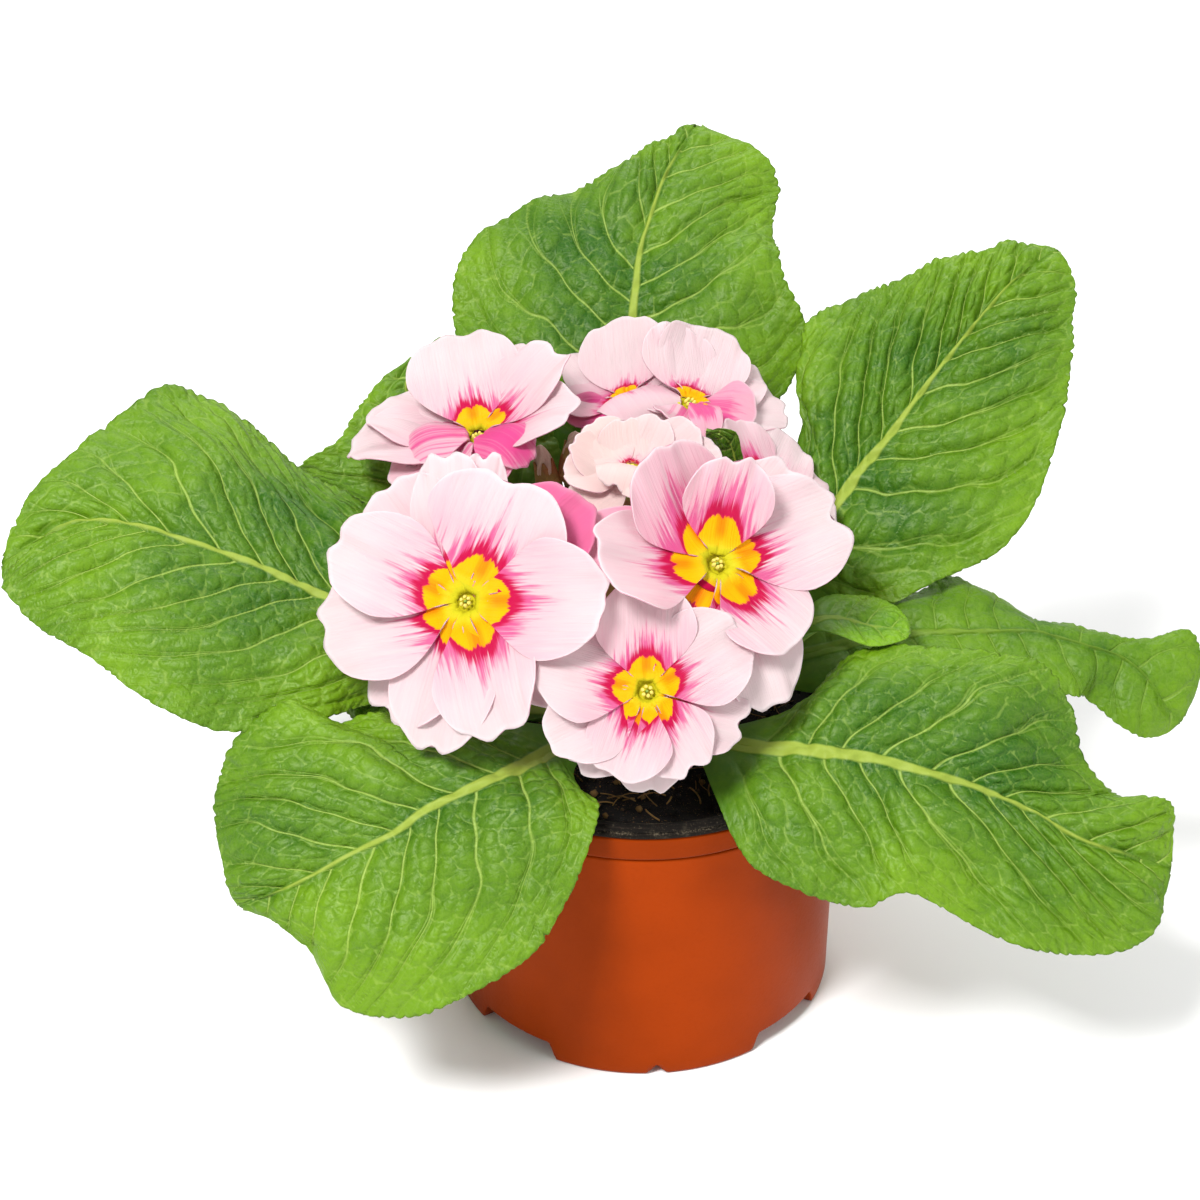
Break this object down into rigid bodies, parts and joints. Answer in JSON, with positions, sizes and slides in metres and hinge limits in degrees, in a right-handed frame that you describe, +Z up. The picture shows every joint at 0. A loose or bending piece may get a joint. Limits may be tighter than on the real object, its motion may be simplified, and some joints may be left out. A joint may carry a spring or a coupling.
{
  "type": "potted primrose",
  "caption": "Primrose in flower in a round plastic nursery pot: a rosette of wrinkled green leaves around a dome of pale pink, yellow-eyed flowers.",
  "frame": {"origin": "middle of the pot's underside, on the surface that it stands on", "axes": "+Z up along the pot's axis, -Y towards the front of the plant, +X to the right, along its greatest spread"},
  "size_m": [0.2614, 0.1927, 0.1568],
  "materials": {
    "pot_plastic": "terracotta-coloured thin plastic, satin, black inside and on the rim",
    "peat": "dark moist peat with pale fibres, rough",
    "crown": "woody scaled plant stock, matt",
    "leaf": "living leaf, wrinkled between pale veins, satin, slightly translucent",
    "stalk": "finely hairy reddish-brown stalk, matt",
    "calyx": "olive-green ribbed calyx, finely hairy",
    "petal": "pale pink petals, crimson and yellow towards the eye, velvety, translucent",
    "anther": "yellow pollen-covered anthers, matt"
  },
  "bodies": {
    "root": {"pot": "pot_plastic", "soil": "peat", "crown": "crown", "leaf_left": "leaf", "leaf_back": "leaf", "leaf_back_right": "leaf", "leaf_front_right": "leaf", "leaf_front_left": "leaf", "leaf_right": "leaf", "leaf_back_left": "leaf", "leaf_small_right": "leaf", "leaf_small_left": "leaf", "leaf_young": "leaf", "stalk_front_low": "stalk", "calyx_front_low": "calyx", "corolla_front_low": "petal", "stamens_front_low": "anther", "stalk_front_left": "stalk", "calyx_front_left": "calyx", "corolla_front_left": "petal", "stamens_front_left": "anther", "stalk_front_right": "stalk", "calyx_front_right": "calyx", "corolla_front_right": "petal", "stamens_front_right": "anther", "stalk_centre": "stalk", "calyx_centre": "calyx", "corolla_centre": "petal", "stamens_centre": "anther", "stalk_back_left": "stalk", "calyx_back_left": "calyx", "corolla_back_left": "petal", "stamens_back_left": "anther", "stalk_back_right": "stalk", "calyx_back_right": "calyx", "corolla_back_right": "petal", "stamens_back_right": "anther", "stalk_back_middle": "stalk", "calyx_back_middle": "calyx", "corolla_back_middle": "petal", "stamens_back_middle": "anther", "stalk_side_right": "stalk", "calyx_side_right": "calyx", "corolla_side_right": "petal", "stamens_side_right": "anther", "stalk_bud_left": "stalk", "bud_left": "calyx", "stalk_bud_back": "stalk", "bud_back": "calyx", "stalk_bud_front": "stalk", "bud_front": "calyx", "stalk_bud_right": "stalk", "bud_right": "calyx"}
  },
  "joints": []
}
